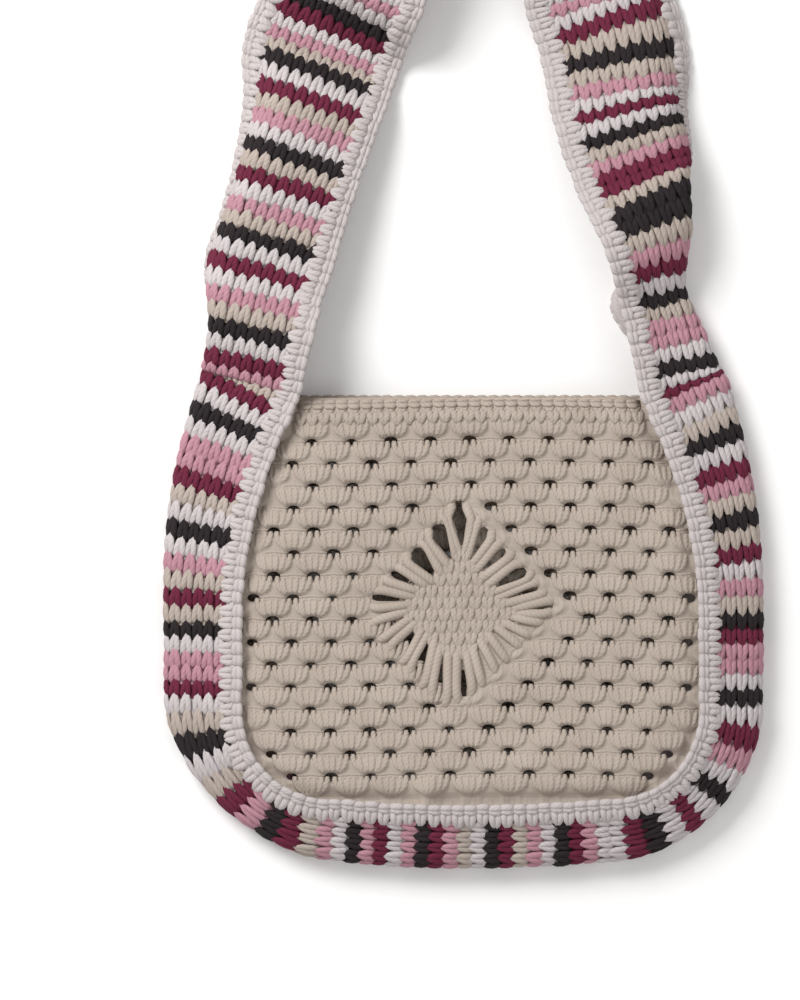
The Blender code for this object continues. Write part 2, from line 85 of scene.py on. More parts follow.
def makeYarn(name, grooveShadeColour, mid, light, grooveShadeShare=0.30):
    material = bpy.data.materials.new(name)
    material.use_nodes = True
    tree = material.node_tree
    shader = tree.nodes["Principled BSDF"]
    uv = addNode(tree, "ShaderNodeUVMap", {"uv_map": "yarn"})
    split = addNode(tree, "ShaderNodeSeparateXYZ", links={0: uv.outputs[0]})
    turns = addNode(tree, "ShaderNodeMath", {"operation": "ADD"},
                    {0: split.outputs[0], 1: split.outputs[1]})
    phase = addNode(tree, "ShaderNodeMath", {"operation": "MULTIPLY", 1: math.pi * yarnLook["plies"]},
                    {0: turns.outputs[0]})
    wave = addNode(tree, "ShaderNodeMath", {"operation": "SINE"}, {0: phase.outputs[0]})
    ply = addNode(tree, "ShaderNodeMath", {"operation": "ABSOLUTE"}, {0: wave.outputs[0]})
    stretch = addNode(tree, "ShaderNodeMapping", {"Scale": (14, 46, 1)}, {"Vector": uv.outputs[0]})
    fibre = addNode(tree, "ShaderNodeTexNoise",
                    {"Scale": 1.0, "Detail": 3.0, "Roughness": 0.6, "Distortion": 0.8},
                    {"Vector": stretch.outputs[0]})
    place = addNode(tree, "ShaderNodeTexCoord")
    drift = addNode(tree, "ShaderNodeTexNoise",
                    {"Scale": 1000 / yarnLook["driftMm"], "Detail": 2.0, "Roughness": 0.5},
                    {"Vector": place.outputs["Object"]})
    fuzz = addNode(tree, "ShaderNodeTexNoise", {"Scale": 900.0, "Detail": 2.0, "Roughness": 0.6},
                   {"Vector": place.outputs["Object"]})

    # Colour: the plies' grooves take the dark tone as painted shade, and drift and fibre move the rest
    # from mid to light.
    tone = addNode(tree, "ShaderNodeMath", {"operation": "MULTIPLY_ADD", 1: 0.55, 2: 0.0},
                   {0: drift.outputs["Fac"]})
    tone = addNode(tree, "ShaderNodeMath", {"operation": "MULTIPLY_ADD", 1: 0.45},
                   {0: fibre.outputs["Fac"], 2: tone.outputs[0]})
    body = addNode(tree, "ShaderNodeValToRGB", links={0: tone.outputs[0]})
    body.color_ramp.elements[0].position = 0.3
    body.color_ramp.elements[0].color = hexColour(mid)
    body.color_ramp.elements[1].position = 0.7
    body.color_ramp.elements[1].color = hexColour(light)
    # painted shade: how much of the dark tone each point takes, most in the grooves between the plies
    paintedGrooveShade = addNode(tree, "ShaderNodeMapRange",
                     {"From Min": 0.0, "From Max": 0.45, "To Min": grooveShadeShare, "To Max": 0.0},
                     {"Value": ply.outputs[0]})
    colour = addNode(tree, "ShaderNodeMix", {"data_type": "RGBA"})
    tree.links.new(paintedGrooveShade.outputs[0], colour.inputs["Factor"])
    tree.links.new(body.outputs[0], colour.inputs[6])
    colour.inputs[7].default_value = hexColour(grooveShadeColour)
    tree.links.new(colour.outputs[2], shader.inputs["Base Color"])

    # Relief: plies, then fibres along them, then loose fuzz.
    fibreBump = addNode(tree, "ShaderNodeBump",
                        {"Strength": 0.5, "Distance": yarnLook["fibreDepthMm"] / 1000},
                        {"Height": fibre.outputs["Fac"]})
    fuzzBump = addNode(tree, "ShaderNodeBump",
                       {"Strength": 0.35, "Distance": yarnLook["fibreDepthMm"] / 1000},
                       {"Height": fuzz.outputs["Fac"], "Normal": fibreBump.outputs[0]})
    plyBump = addNode(tree, "ShaderNodeBump",
                      {"Strength": 0.6, "Distance": yarnLook["plyDepthMm"] / 1000},
                      {"Height": ply.outputs[0], "Normal": fuzzBump.outputs[0]})
    tree.links.new(plyBump.outputs[0], shader.inputs["Normal"])
    shader.inputs["Roughness"].default_value = yarnLook["roughness"]
    shader.inputs["IOR"].default_value = yarnLook["ior"]
    shader.inputs["Sheen Weight"].default_value = yarnLook["sheen"]
    shader.inputs["Sheen Roughness"].default_value = 0.5
    shader.inputs["Sheen Tint"].default_value = hexColour(light)
    shader.inputs["Specular IOR Level"].default_value = 0.25
    through = addNode(tree, "ShaderNodeBsdfTranslucent", {"Color": hexColour(light)})
    both = addNode(tree, "ShaderNodeMixShader", {0: yarnLook["through"]},
                   {1: shader.outputs[0], 2: through.outputs[0]})
    tree.links.new(both.outputs[0], tree.nodes["Material Output"].inputs["Surface"])
    return material


# each yarn: its material, the painted shade tone of its ply grooves, its mid and light tones, and for
# the panel the share of painted groove shade
yarnColours = {
    "K": ("charcoalAcrylicYarn", "#171213", "#272122", "#332c2e"),
    "R": ("burgundyAcrylicYarn", "#3d1320", "#672338", "#792f48"),
    "P": ("dustyPinkAcrylicYarn", "#8a5f6b", "#b98895", "#c998a4"),
    "B": ("beigeAcrylicYarn", "#857970", "#b5a79d", "#c5b8ae"),
    "W": ("offWhiteAcrylicYarn", "#989093", "#c8bfc0", "#d6cecd"),
    "panel": ("panelBeigeAcrylicYarn", "#83776d", "#b6a89c", "#c6b9ad", 0.26),
    "edging": ("edgingWhiteAcrylicYarn", "#968e90", "#c8bfbc", "#d4cccb"),
}
yarns = {key: makeYarn(*spec) for key, spec in yarnColours.items()}
print("yarns made")


# How the bag lies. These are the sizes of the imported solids, in metres and degrees.

bag = {
    "panelWidth": 0.228, "panelHeight": 0.202, "mouth": 0.171, "backMouth": 0.216,
    "corner": 0.044, "backLeftCorner": 0.078, "backRightCorner": 0.050, "bottomBow": 0.003,
    "backLeft": 0.006, "backUp": 0.007, "backShows": 0.003,
    "taperStart": -0.05, "taperPower": 2.0,
    "bandWidth": 0.077, "bandThickness": 0.0042, "edgingThickness": 0.0056,
    "rimHeight": 0.027, "softness": 0.30, "strapRise": 0.484, "loopRadius": 0.055,
}

# Stations up each leg of the strap: share of the rise, the front edge's place in half mouth
# widths and in loop radii, its lean, how far the band folds on, the crease's share, its softness.
leftLeg = [
    (0.052, 0.936, 0.00, 12, 130, 0.69, 0.30),
    (0.103, 0.865, 0.00, 2, 84, 0.71, 0.32),
    (0.155, 0.778, 0.00, -4, 84, 0.68, 0.34),
    (0.207, 0.690, 0.00, -9, 84, 0.66, 0.36),
    (0.279, 0.556, 0.00, -14, 65, 0.62, 0.40),
    (0.351, 0.409, 0.00, 0, 2, 0.62, 0.30),
    (0.413, 0.263, 0.00, 0, 112, 0.62, 0.26),
    (0.483, 0.270, 0.00, 22, 88, 0.60, 0.32),
    (0.556, 0.200, 0.24, 48, 48, 0.56, 0.40),
    (0.638, 0.100, 0.57, 76, 14, 0.50, 0.40),
    (0.721, 0.050, 0.78, 90, 0, 0.50, 0.40),
    (0.804, 0.000, 0.95, 90, 0, 0.50, 0.40),
    (1.000, 0.000, 1.00, 90, 0, 0.50, 0.40),
]
rightLeg = [
    (0.052, 0.936, 0.00, 20, 158, 0.56, 0.28),
    (0.103, 0.865, 0.00, 24, 154, 0.52, 0.28),
    (0.155, 0.778, 0.00, 13, 128, 0.63, 0.30),
    (0.207, 0.645, 0.00, 2, 92, 0.72, 0.30),
    (0.279, 0.515, 0.00, -8, 74, 0.69, 0.32),
    (0.351, 0.439, 0.00, -12, 56, 0.66, 0.36),
    (0.413, 0.333, 0.00, -11, 56, 0.64, 0.38),
    (0.483, 0.328, 0.00, 6, 46, 0.62, 0.40),
    (0.556, 0.235, 0.24, 36, 38, 0.58, 0.40),
    (0.638, 0.110, 0.57, 72, 14, 0.50, 0.40),
    (0.721, 0.050, 0.78, 90, 0, 0.50, 0.40),
    (0.804, 0.000, 0.95, 90, 0, 0.50, 0.40),
    (1.000, 0.000, 1.00, 90, 0, 0.50, 0.40),
]

ringDetail = {"side": 70, "corner": 40, "bottom": 36, "leg": 168, "loop": 36, "across": 49}


def halfOutline(width, mouth, corner):
    half, top, low = width / 2, bag["panelHeight"] / 2, bag["bottomBow"] - bag["panelHeight"] / 2
    start = bag["panelHeight"] * bag["taperStart"]
    points = []
    for k in range(ringDetail["side"]):
        y = top + (low + corner - top) * k / ringDetail["side"]
        taper = max(0, (y - start) / (top - start)) ** bag["taperPower"]
        points.append((-half + (half - mouth / 2) * taper, y))
    for k in range(ringDetail["corner"]):
        turned = math.radians(180 + 90 * k / ringDetail["corner"])
        points.append((corner - half + corner * math.cos(turned),
                       low + corner + corner * math.sin(turned)))
    for k in range(ringDetail["bottom"] + 1):
        share = k / ringDetail["bottom"]
        points.append(((corner - half) * (1 - share), low - bag["bottomBow"] * (1 - (1 - share) ** 2)))
    return points


def wholeOutline(left, right):
    return np.array(left + [(-x, y) for x, y in reversed(right[:-1])])


def backOutline():
    outline = wholeOutline(
        halfOutline(bag["panelWidth"], bag["backMouth"], bag["backLeftCorner"]),
        halfOutline(bag["panelWidth"], bag["backMouth"], bag["backRightCorner"]))
    return outline + (-bag["backLeft"], bag["backUp"])


def acrossBand(lean, fold, crease, soft):
    steps = ringDetail["across"] - 1
    shares = (np.arange(steps) + 0.5) / steps
    turned = np.clip((shares - crease) / soft + 0.5, 0, 1)
    turned = turned * turned * (3 - 2 * turned)
    slope = -np.radians(lean + fold * turned)
    step = bag["bandWidth"] / steps
    out = np.concatenate([[0], np.cumsum(np.cos(slope)) * step])
    up = np.concatenate([[0], np.cumsum(np.sin(slope)) * step])
    return out, up


def foldedGusset(reach):
    lean, crease = 25.0, 0.5
    for _ in range(60):
        out, up = acrossBand(lean, 180 - lean, crease, bag["softness"])
        short = bag["rimHeight"] - bag["edgingThickness"] / 2 + up.min()
        lean += math.degrees(short / bag["bandWidth"])
        crease += (reach - out[-1]) / (3 * bag["bandWidth"])
    return lean, 180 - lean, crease, bag["softness"]


def smoothRow(rows, share):
    shares = [row[0] for row in rows]
    k = int(np.clip(np.searchsorted(shares, share) - 1, 0, len(rows) - 2))
    values = np.array(rows, float)
    before, after = max(k - 1, 0), min(k + 2, len(rows) - 1)
    span = shares[k + 1] - shares[k]
    t = (share - shares[k]) / span
    start = (values[k + 1] - values[before]) / (shares[k + 1] - shares[before]) * span
    end = (values[after] - values[k]) / (shares[after] - shares[k]) * span
    return ((2 * t**3 - 3 * t**2 + 1) * values[k] + (t**3 - 2 * t**2 + t) * start
            + (3 * t**2 - 2 * t**3) * values[k + 1] + (t**3 - t**2) * end)


def legStations(rows, side, mouthFold):
    rows = [(0, 1, 0, *mouthFold)] + rows
    straight = 1 - bag["loopRadius"] / bag["strapRise"]
    points, folds = [], []
    for k in range(1, ringDetail["leg"] + 1):
        share = straight * k / ringDetail["leg"]
        row = smoothRow(rows, share)
        x = row[1] * bag["mouth"] / 2 + row[2] * bag["loopRadius"]
        points.append((side * x, bag["panelHeight"] / 2 + share * bag["strapRise"]))
        folds.append(tuple(row[3:]))
    for k in range(1, ringDetail["loop"] + 1):
        turned = math.radians(90 * k / ringDetail["loop"])
        end = bag["panelHeight"] / 2 + bag["strapRise"] - bag["loopRadius"]
        points.append((side * bag["loopRadius"] * math.cos(turned),
                       end + bag["loopRadius"] * math.sin(turned)))
        folds.append(rows[-1][3:])
    return points, folds


def smoothedLoop(values, reach):
    # a closed line's values, each the mean of its neighbours within reach
    kernel = np.hanning(2 * reach + 3)[1:-1]
    kernel /= kernel.sum()
    padded = np.concatenate([values[-reach:], values, values[:reach]])
    return np.stack([np.convolve(padded[:, k], kernel, "valid") for k in range(values.shape[1])], 1)


def outward(points):
    ahead = np.roll(points, -1, axis=0) - np.roll(points, 1, axis=0)
    normals = np.stack([ahead[:, 1], -ahead[:, 0]], axis=1)
    normals /= np.linalg.norm(normals, axis=1)[:, None]
    normals = smoothedLoop(normals, 3)
    return normals / np.linalg.norm(normals, axis=1)[:, None]


def makeRing():
    front = halfOutline(bag["panelWidth"], bag["mouth"], bag["corner"])
    body = wholeOutline(front, front)
    back = backOutline()
    flat = (0, 0, 0.5, bag["softness"])
    points = np.concatenate([body, legStations(rightLeg, 1, flat)[0],
                             legStations(leftLeg, -1, flat)[0][:-1][::-1]])
    normals = outward(points)
    reach = ((back - body) * normals[: len(body)]).sum(axis=1)
    reach = np.interp(np.arange(len(body)), np.arange(0, len(body), 6), reach[::6])
    folds = [foldedGusset(one) for one in reach]
    folds += legStations(rightLeg, 1, folds[-1])[1]
    folds += legStations(leftLeg, -1, folds[0])[1][:-1][::-1]
    surface = []
    half = bag["bandThickness"] / 2
    for point, normal, fold in zip(points, normals, folds):
        out, up = acrossBand(*fold)
        slope = np.arctan2(np.gradient(up), np.gradient(out))
        thick = np.full(len(up), half)
        thick[:6] = thick[-6:] = bag["edgingThickness"] / 2
        up = up - (up - np.abs(np.cos(slope)) * thick).min()
        plan = point + normal * out[:, None]
        surface.append(np.column_stack([plan, up]))
    surface = np.array(surface)
    along = np.roll(surface, -1, axis=0) - np.roll(surface, 1, axis=0)
    across = np.gradient(surface, axis=1)
    facing = np.cross(across, along)
    facing /= np.linalg.norm(facing, axis=2)[..., None]
    step = np.linalg.norm(np.roll(points, -1, axis=0) - points, axis=1)
    arc = np.concatenate([[0], np.cumsum(step)])
    return {"surface": surface, "facing": facing, "arc": arc, "count": len(points),
            "length": arc[-1], "bodyLength": arc[len(body) - 1], "body": len(body),
            "points": points, "normals": normals}


ring = makeRing()
print("ring", round(ring["length"], 3), "m round, body", round(ring["bodyLength"], 3))


def onRing(along, across, above):
    # points at millimetres along the front edge, across the band and above its middle surface
    index = np.interp(np.mod(along / 1000, ring["length"]), ring["arc"], np.arange(ring["count"] + 1))
    low = np.floor(index).astype(int)
    t = (index - low)[..., None]
    low, high = low % ring["count"], (low + 1) % ring["count"]
    steps = ringDetail["across"] - 1
    spot = across / 1000 / bag["bandWidth"] * steps
    left = np.clip(np.floor(spot), 0, steps - 1).astype(int)
    beyond = (spot - left)[..., None]  # past the edges the surface runs straight on

    def mixed(grid, v):
        near = grid[low, left] * (1 - v) + grid[low, left + 1] * v
        far = grid[high, left] * (1 - v) + grid[high, left + 1] * v
        return near * (1 - t) + far * t

    facing = mixed(ring["facing"], np.clip(beyond, 0, 1))
    facing /= np.linalg.norm(facing, axis=-1)[..., None]
    return mixed(ring["surface"], beyond) + facing * (above / 1000)[..., None]


def placed(name, data, location=(0, 0, 0)):
    thing = bpy.data.objects.new(name, data)
    thing.location = location
    bpy.context.scene.collection.objects.link(thing)
    return thing


# Stitches: a template is a few tubes of yarn in millimetres, which is set down many times


def tube(line, radii, sides, flat=1.0, turn=0.0):
    line, radii = np.array(line, float), np.array(radii, float)
    ahead = np.gradient(line, axis=0)
    ahead /= np.linalg.norm(ahead, axis=1)[:, None]
    aside = np.cross(ahead, (0, 0, 1.0))
    aside /= np.linalg.norm(aside, axis=1)[:, None]
    above = np.cross(aside, ahead)
    angles = 2 * math.pi * np.arange(sides) / sides
    rings = (line[:, None] + radii[:, None, None] * (
        np.cos(angles)[None, :, None] * aside[:, None]
        + np.sin(angles)[None, :, None] * above[:, None] * flat))
    points = rings.reshape(-1, 3)
    run = np.concatenate([[0], np.cumsum(np.linalg.norm(np.diff(line, axis=0), axis=1))])
    run = run / yarnLook["twistMm"] + turn
    faces, uvs = [], []
    for k in range(len(line) - 1):
        for j in range(sides):
            n = (j + 1) % sides
            faces.append((k * sides + j, k * sides + n, (k + 1) * sides + n, (k + 1) * sides + j))
            uvs.append(((run[k], j / sides), (run[k], (j + 1) / sides),
                        (run[k + 1], (j + 1) / sides), (run[k + 1], j / sides)))
    last = (len(line) - 1) * sides
    faces.append(tuple(range(sides))[::-1])
    uvs.append(tuple((run[0], j / sides) for j in range(sides))[::-1])
    faces.append(tuple(range(last, last + sides)))
    uvs.append(tuple((run[-1], j / sides) for j in range(sides)))
    return points, faces, uvs


def joined(tubes):
    points, faces, uvs, first = [], [], [], 0
    for onePoints, oneFaces, oneUvs in tubes:
        points.append(onePoints)
        faces += [tuple(first + k for k in face) for face in oneFaces]
        uvs += oneUvs
        first += len(onePoints)
    return {
        "points": np.concatenate(points),
        "sizes": np.array([len(face) for face in faces]),
        "corners": np.array([k for face in faces for k in face]),
        "uvs": np.array([pair for face in uvs for pair in face]),
    }


def columns(template):
    return (template["points"][:, k][None] for k in range(3))


def setDown(template, count):
    # faces and yarn coordinates of count copies of a template, whose points are mapped elsewhere
    corners = template["corners"][None] + (np.arange(count) * len(template["points"]))[:, None]
    shift = rng.uniform(0, 1, (count, 1, 1))
    uvs = template["uvs"][None] + shift * (1.0, 0.0)
    return np.tile(template["sizes"], count), corners.ravel(), uvs.reshape(-1, 2)


def buildPiece(name, parts, material, replaced):
    # parts are (points, face sizes, corners, yarn coordinates)
    points = np.concatenate([part[0].reshape(-1, 3) for part in parts])
    points[:, 2] = np.maximum(points[:, 2], 0)  # pressed flat where the bag lies on the floor
    sizes = np.concatenate([part[1] for part in parts])
    offsets = np.cumsum([0] + [len(part[0].reshape(-1, 3)) for part in parts[:-1]])
    corners = np.concatenate([part[2] + shift for part, shift in zip(parts, offsets)])
    uvs = np.concatenate([part[3] for part in parts])
    mesh = bpy.data.meshes.new(name)
    mesh.vertices.add(len(points))
    mesh.vertices.foreach_set("co", points.astype(np.float32).ravel())
    mesh.loops.add(len(corners))
    mesh.loops.foreach_set("vertex_index", corners.astype(np.int32))
    mesh.polygons.add(len(sizes))
    starts = np.concatenate([[0], np.cumsum(sizes)[:-1]])
    mesh.polygons.foreach_set("loop_start", starts.astype(np.int32))
    mesh.polygons.foreach_set("use_smooth", np.ones(len(sizes), bool))
    mesh.uv_layers.new(name="yarn").data.foreach_set("uv", uvs.astype(np.float32).ravel())
    mesh.update(calc_edges=True)
    mesh.validate()
    for one in material if isinstance(material, list) else [material]:
        mesh.materials.append(one)
    piece = placed(name, mesh)
    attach(piece, "root")
    for node in replaced:
        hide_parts(node)
    print(name, len(points), "points", int((sizes - 2).sum()), "triangles")
    return piece


# Striped band, in single crochet. Its rows run across it, and each stitch is a V whose point
# reaches into the row before. Each stretch of rows has its own length in millimetres.

band = {
    "stitchMm": 6.05,
    "rowMm": 6.6,      # the row for which the template is drawn
    "firstMm": 10.7,   # the first stitch's middle from the front edge
    "stitches": 10, "sides": 7, "jitterMm": 0.28,
    "flatten": 0.72, "liftMm": 0.6,
    "names": {"K": "Charcoal", "R": "Burgundy", "P": "Pink", "B": "Beige", "W": "White"},
    "rows": [
        ("BRWKWPPRBWKWPBRBKWPPRWBK", 176),            # down the left side
        ("WBRP", 30),                                 # round the left corner
        ("KRBPWKPRWPKRPBWKRBPWKRPWWRKW", 190),        # along the bottom
        ("RWKW", 24),                                 # round the right corner
        ("PRWKWPPRKBPWRBKBPRWKBWP", 174),             # up the right side
        ("RWKWPPBKWRPBKKBRRPBKWRWPBKBRWP", 208),      # up the right leg
    ],
    "hiddenRows": "WKWRBPWKBRWPB",
    "leftLegRows": [("RWPWKRWPB", 50), ("KWRBPWKBRWPBKWRWPBKWRP", 160)],
}


def bandRows():
    # (start in millimetres, pitch, colour) of each row, round the whole ring
    seen = sum(stretch[1] for stretch in band["rows"] + band["leftLegRows"])
    hidden = ring["length"] * 1000 - seen
    count = round(hidden / band["rowMm"])
    unseen = [band["hiddenRows"][k % len(band["hiddenRows"])] for k in range(count)]
    rows, start = [], 0.0
    for colours, length in [*band["rows"], (unseen, hidden), *band["leftLegRows"]]:
        pitch = length / len(colours)
        rows += [(start + k * pitch, pitch, colour) for k, colour in enumerate(colours)]
        start += length
    return rows


def singleCrochet(sides):
    # a V of two strands: a is across, b from the row before to the row after, then the height
    legs = []
    for side in (-1, 1):
        line = [(0.10, -3.8, -0.5), (0.34, -2.5, 0.70), (0.82, -0.6, 1.35),
                (1.38, 1.8, 1.35), (1.60, 4.0, 0.75), (1.65, 5.9, -0.45)]
        line = [(side * a, b, h) for a, b, h in line]
        legs.append(tube(line, [0.5, 0.95, 1.42, 1.72, 1.70, 1.3], sides, turn=0.25 * side))
    return joined(legs)


def stitchBand():
    rows = bandRows()
    template = singleCrochet(band["sides"])
    for key, name in band["names"].items():
        mine = [(start, pitch) for start, pitch, colour in rows if colour == key]
        starts = np.repeat([row[0] for row in mine], band["stitches"])
        pitches = np.repeat([row[1] for row in mine], band["stitches"])
        stitch = np.tile(np.arange(band["stitches"]), len(mine))
        count = len(starts)
        a, b, h = columns(template)
        size = rng.normal(1, 0.045, (count, 1))
        slant = rng.normal(0.05, 0.05, (count, 1))
        along = starts[:, None] + b * pitches[:, None] / band["rowMm"] * size
        along = along + rng.normal(0, band["jitterMm"], (count, 1))
        across = (band["firstMm"] + stitch * band["stitchMm"])[:, None] + (a + slant * b) * size
        across = across + rng.normal(0, band["jitterMm"], (count, 1)) * 0.6
        above = h * size * band["flatten"] + band["liftMm"] + rng.normal(0, 0.12, (count, 1))
        points = onRing(along, across, above)
        buildPiece("bandStitches" + name, [(points, *setDown(template, count))], yarns[key],
                   ["strap_band"])
    return rows


rows = stitchBand()


# The band's fabric under its stitches. Its inner face shows the backs of the same rows: low
# ridges, one for each row, with a bump for each stitch.

web = {"startMm": 4.0, "endMm": 73.0, "topMm": 0.5, "backMm": 1.3, "ridgeMm": 0.85,
       "topPoints": 8, "backPoints": 31, "perRow": 4}


def gridFaces(count, around):
    # quads of a grid of count stations with around points each, closed both ways
    k = np.arange(count)[:, None]
    j = np.arange(around)[None]
    ahead, beside = (k + 1) % count, (j + 1) % around
    return np.stack([k * around + j, k * around + beside, ahead * around + beside,
                     ahead * around + j], axis=-1).reshape(-1, 4)


def gridPart(points, count, around, uvs, turned=False):
    faces = gridFaces(count, around)
    faces = faces[:, ::-1] if turned else faces
    return points, np.full(len(faces), 4), faces.ravel(), uvs[faces.ravel()]


def weaveWeb(rows):
    order = list(band["names"])
    starts = np.array([row[0] for row in rows])
    pitches = np.array([row[1] for row in rows])
    shares = np.arange(web["perRow"]) / web["perRow"]
    along = (starts[:, None] + shares * pitches[:, None]).ravel()[:, None]
    share = np.tile(shares, len(rows))[:, None]
    top = np.linspace(web["startMm"], web["endMm"], web["topPoints"])
    back = np.linspace(web["endMm"], web["startMm"], web["backPoints"])
    across = np.concatenate([top, back])[None]
    column = (back - band["firstMm"]) / band["stitchMm"]
    ridge = np.abs(np.sin(math.pi * share)) ** 0.7 * (0.78 + 0.22 * np.cos(2 * math.pi * column))
    above = np.concatenate([
        np.full((len(along), len(top)), web["topMm"]),
        -web["backMm"] - web["ridgeMm"] * ridge,
    ], axis=1)
    points = onRing(along + 0 * across, across + 0 * along, above)
    around = len(top) + len(back)
    uvs = np.stack([np.tile(across[0], len(along)) / yarnLook["twistMm"],
                    np.repeat(along[:, 0], around) / yarnLook["twistMm"]], axis=1)
    colours = np.repeat([order.index(row[2]) for row in rows], web["perRow"] * around)
    piece = buildPiece("bandFabric", [gridPart(points, len(along), around, uvs)],
                       [yarns[key] for key in order], ["strap_band"])
    piece.data.polygons.foreach_set("material_index", colours.astype(np.int32))
    piece.data.update()


weaveWeb(rows)


# White edgings: along each edge of the band a row of Vs reaches over the ends of the striped
# rows, and a braid of chain stitches runs along the edge itself over a round core.

edging = {
    "stitchMm": 6.1, "sides": 7, "jitterMm": 0.25,
    "coreMiddleMm": 4.4, "coreHalfMm": 4.6, "coreThickMm": 2.3, "coreSides": 12, "coreStepMm": 3.0,
}


def edgingStitch(sides):
    # a is along the ring, b in from the edge, then the height
    parts = []
    for side in (-1, 1):
        line = [(0.2, 12.0, 0.3), (0.6, 10.6, 1.6), (1.1, 8.7, 2.1), (1.5, 6.2, 2.0),
                (1.6, 3.4, 1.0)]
        parts.append(tube([(side * a, b, h) for a, b, h in line],
                          [0.6, 1.15, 1.6, 1.9, 1.7], sides, turn=0.3 * side))
        chain = [(-3.8, 0.3, 0.9), (-1.6, 1.1, 1.6), (0.9, 1.3, 1.8), (3.8, 0.8, 1.0)]
        parts.append(tube([(a, 1.5 + side * b, h) for a, b, h in chain],
                          [1.2, 1.75, 1.8, 1.4], sides, turn=0.4 * side))
    return joined(parts)


def workEdging(name, node, fromBack):
    total = ring["length"] * 1000
    count = round(total / edging["stitchMm"])
    template = edgingStitch(edging["sides"])
    a, b, h = columns(template)
    size = rng.normal(1, 0.04, (count, 1))
    along = (np.arange(count) * total / count)[:, None] + a * size
    along = along + rng.normal(0, edging["jitterMm"], (count, 1))
    inward = b * size + rng.normal(0, edging["jitterMm"], (count, 1))
    across = bag["bandWidth"] * 1000 - inward if fromBack else inward
    points = onRing(along, across, h * size)
    steps = round(total / edging["coreStepMm"])
    turned = 2 * math.pi * np.arange(edging["coreSides"]) / edging["coreSides"]
    spread = edging["coreMiddleMm"] + edging["coreHalfMm"] * np.cos(turned)
    if fromBack:
        spread = bag["bandWidth"] * 1000 - spread
        turned = -turned
    along = (np.arange(steps) * total / steps)[:, None]
    core = onRing(along + 0 * turned, spread[None] + 0 * along,
                  edging["coreThickMm"] * np.sin(turned)[None] + 0 * along)
    uvs = np.stack([np.repeat(along[:, 0], edging["coreSides"]) / yarnLook["twistMm"],
                    np.tile(turned, steps) / math.pi], axis=1)
    buildPiece(name, [(points, *setDown(template, count)),
                      gridPart(core, steps, edging["coreSides"], uvs, turned=not fromBack)],
               yarns["edging"], [node])


workEdging("frontEdgingStitches", "front_edging", False)
workEdging("backEdgingStitches", "back_edging", True)


# Front panel: where it lies

panel = {
    "seamDrop": 0.0015, "puff": 0.0035, "puffWidth": 0.022, "sag": 0.009,
    "lipDepth": 0.008, "lipDrop": 0.004, "insideSeam": 0.0012,
    "seamDip": 0.0022, "seamDipWidth": 0.0045,  # the stitches sink in beside the edging
    "driftMm": 0.8,                             # the rows' slow wander from straight
    "underRim": -0.0018, "sheetEnd": -0.0022,   # the sheet runs on under the edging
    # creases and dents: across and up in half widths and heights, long and broad in widths,
    # the turn of the long axis in degrees, and the rise in shares of the puff
    "dents": [(-0.20, -1.02, 0.10, 0.022, 75, 0.9), (0.26, -0.56, 0.09, 0.050, 35, -0.8),
              (0.98, -1.30, 0.16, 0.030, 80, -0.9), (0.80, 0.55, 0.20, 0.060, 70, -0.6),
              (0.05, 0.90, 0.30, 0.030, 0, 0.5)],
}
fieldStep = 0.001
fieldReach = (0.135, 0.125)


def insideDistance(places, outline):
    # metres from the outline, above zero inside it
    ahead = np.roll(outline, -1, axis=0) - outline
    best = np.full(len(places), 9.0)
    crossings = np.zeros(len(places), int)
    for corner, edge in zip(outline, ahead):
        toward = places - corner
        share = np.clip(toward @ edge / max(edge @ edge, 1e-12), 0, 1)
        best = np.minimum(best, np.linalg.norm(toward - share[:, None] * edge, axis=1))
        passes = (corner[1] > places[:, 1]) != (corner[1] + edge[1] > places[:, 1])
        if edge[1]:
            at = corner[0] + (places[:, 1] - corner[1]) / edge[1] * edge[0]
            crossings += passes & (at > places[:, 0])
    return np.where(crossings % 2, best, -best)


def field(values):
    # a sampler of a grid of values over the panel, at places in metres
    def sample(x, y):
        i = np.clip((x + fieldReach[0]) / fieldStep, 0, values.shape[0] - 1.001)
        j = np.clip((y + fieldReach[1]) / fieldStep, 0, values.shape[1] - 1.001)
        a, b = i.astype(int), j.astype(int)
        s, t = i - a, j - b
        return ((values[a, b] * (1 - s) + values[a + 1, b] * s) * (1 - t)
                + (values[a, b + 1] * (1 - s) + values[a + 1, b + 1] * s) * t)
    return sample


gridX = np.arange(-fieldReach[0], fieldReach[0], fieldStep)
gridY = np.arange(-fieldReach[1], fieldReach[1], fieldStep)
gridPlaces = np.array(np.meshgrid(gridX, gridY, indexing="ij")).reshape(2, -1).T


def distanceFields(outline):
    # samplers of the distance inside an outline and of the way in from it
    distance = insideDistance(gridPlaces, outline).reshape(len(gridX), len(gridY))
    towardX, towardY = np.gradient(distance, fieldStep)
    return field(distance), field(towardX), field(towardY)


def panelHeights(places, inside):
    half = np.array([bag["panelWidth"], bag["panelHeight"]]) / 2
    share = np.clip(inside / panel["puffWidth"], 0, 1)
    height = bag["rimHeight"] - panel["seamDrop"] + panel["puff"] * share * (2 - share)
    across, up = (places / half).T
    height -= panel["sag"] * np.clip(1 - across**2, 0, 1) * np.clip(1 - np.minimum(up, 0) ** 2, 0, 1)
    lip = np.clip(1 - (half[1] - places[:, 1]) / panel["lipDepth"], 0, 1)
    height -= panel["lipDrop"] * lip**2
    for across, up, long, broad, turn, rise in panel["dents"]:
        offset = places - half * (across, up)
        turned = math.radians(turn)
        s = offset @ (math.cos(turned), math.sin(turned)) / (long * bag["panelWidth"])
        t = offset @ (-math.sin(turned), math.cos(turned)) / (broad * bag["panelWidth"])
        height += panel["puff"] * rise * np.exp(-(s**2) - t**2)
    return height - panel["seamDip"] * np.exp(-(inside / panel["seamDipWidth"]) ** 2)


